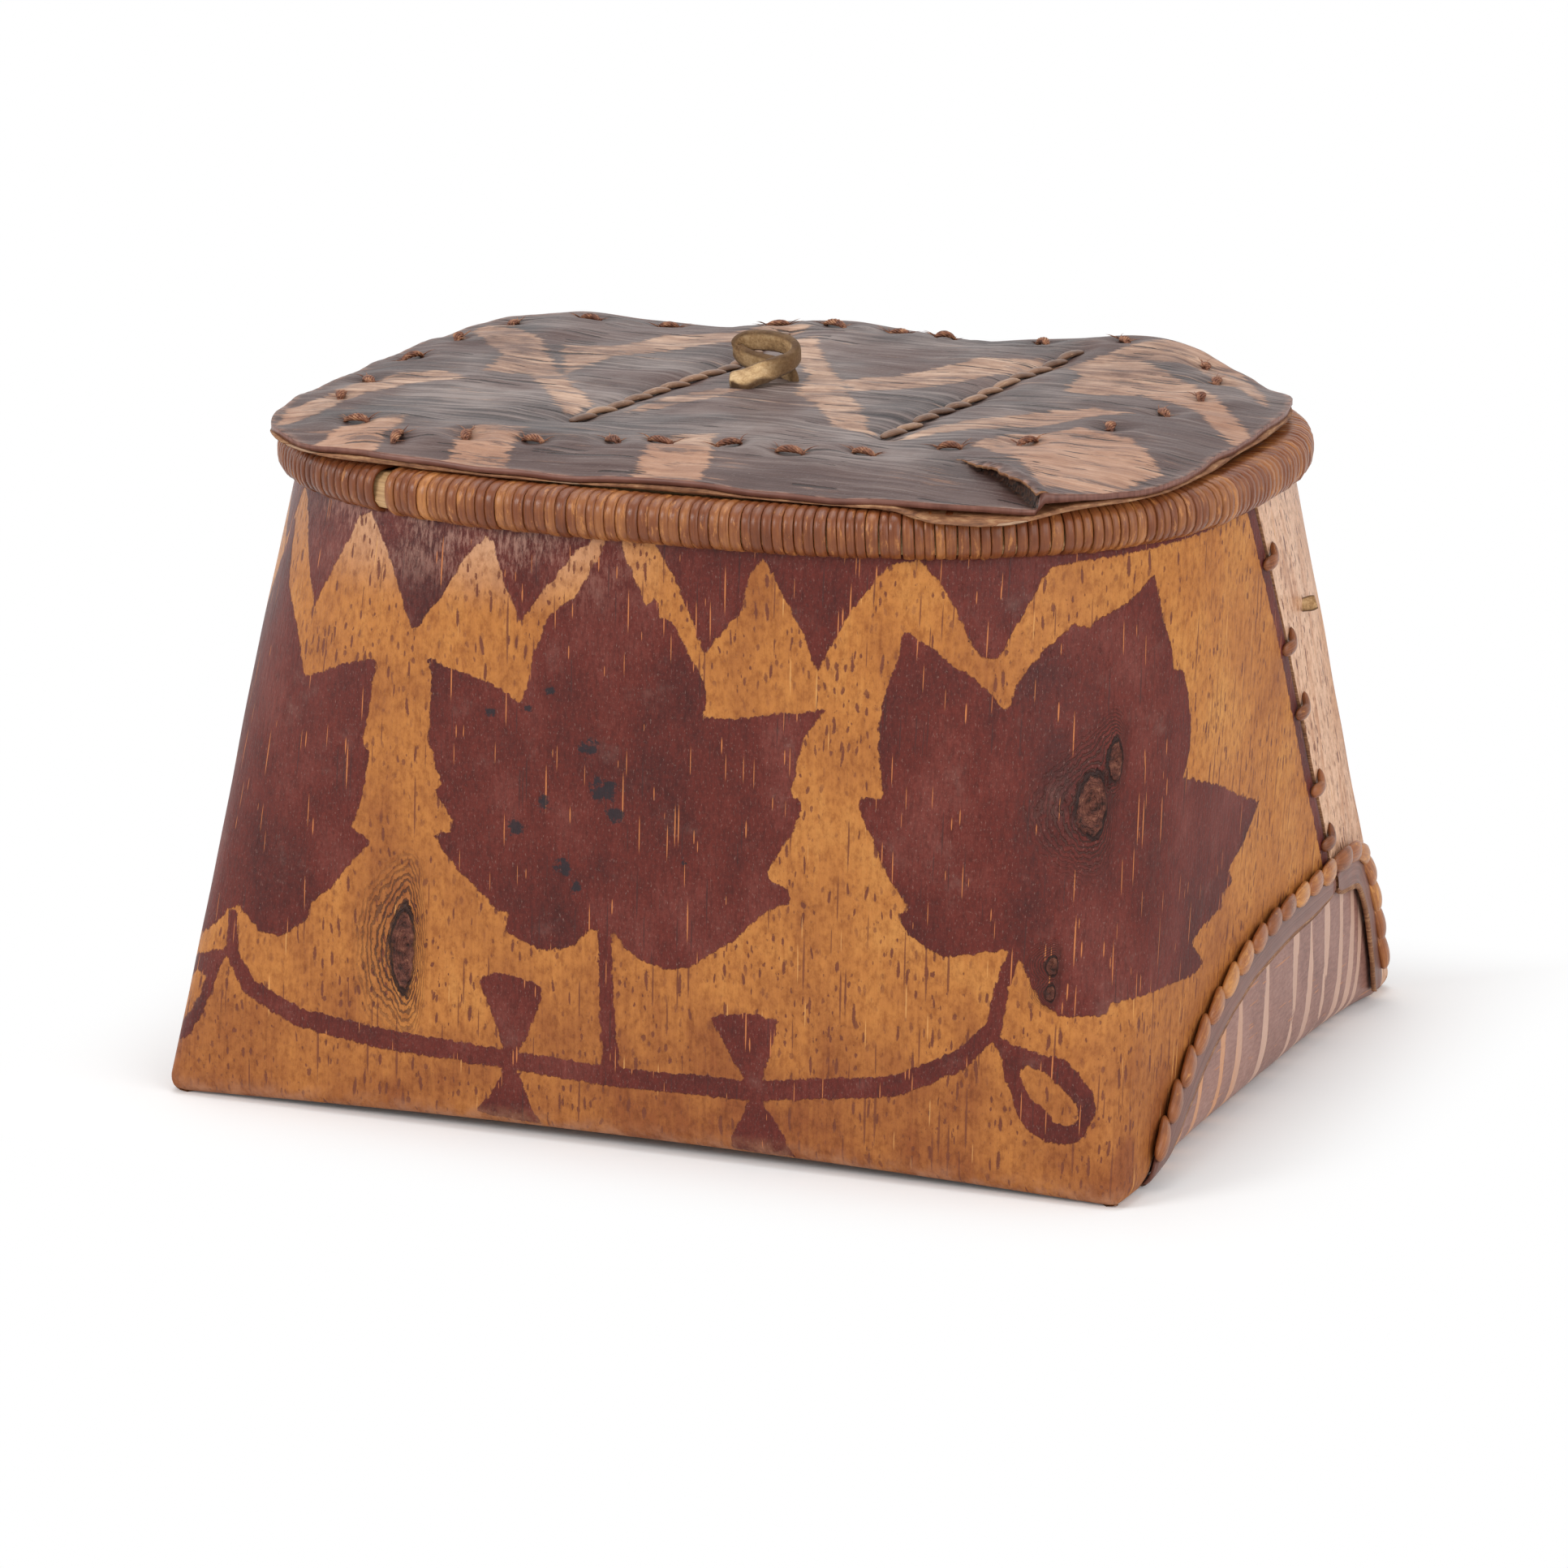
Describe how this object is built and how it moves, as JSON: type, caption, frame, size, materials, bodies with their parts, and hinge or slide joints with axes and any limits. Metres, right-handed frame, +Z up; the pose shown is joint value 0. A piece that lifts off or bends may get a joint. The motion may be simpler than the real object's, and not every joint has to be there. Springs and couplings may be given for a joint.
{
  "type": "lidded birch bark basket",
  "caption": "Folded birch bark basket with a squared base, oval root-wrapped rim and a loose two-layer bark lid with a leather pull.",
  "frame": {"origin": "centre of the base on the surface it stands on", "axes": "+X along the long side to the right, +Y to the back, +Z up"},
  "size_m": [0.3286, 0.2652, 0.2247],
  "materials": {
    "scraped_bark": "satin",
    "rind_bark": "satin",
    "dark_bark": "matte",
    "splint_wood": "matte",
    "split_root": "satin",
    "leather": "matte"
  },
  "bodies": {
    "basket": {"bark_sheet": "scraped_bark", "seam_strip_right": "rind_bark", "seam_strip_left": "rind_bark", "front_band_right": "rind_bark", "back_band_right": "rind_bark", "front_band_left": "rind_bark", "back_band_left": "rind_bark", "front_stitches_right": "split_root", "back_stitches_right": "split_root", "front_stitches_left": "split_root", "back_stitches_left": "split_root", "seam_stitches_right": "split_root", "seam_stitches_left": "split_root", "rim_hoop_outer": "splint_wood", "rim_hoop_inner": "splint_wood", "rim_lashing": "split_root", "thong_stub": "leather"},
    "lid": {"lid_top_bark": "dark_bark", "lid_under_bark": "scraped_bark", "lid_hoop": "splint_wood", "lid_ties": "split_root", "lid_row_left": "split_root", "lid_row_right": "split_root", "thong_knot": "leather"},
    "thong": {"lid_thong": "leather"}
  },
  "joints": [
    {"name": "lid_lift", "type": "slide", "parent": "basket", "child": "lid", "axis": [0, 0, 1], "range_m": [0, 0.25]},
    {"name": "thong_flip", "type": "hinge", "parent": "lid", "child": "thong", "pos_m": [-0.009, 0.021, 0.21078], "axis": [0, 1, 0], "range_deg": [0, 70]}
  ]
}
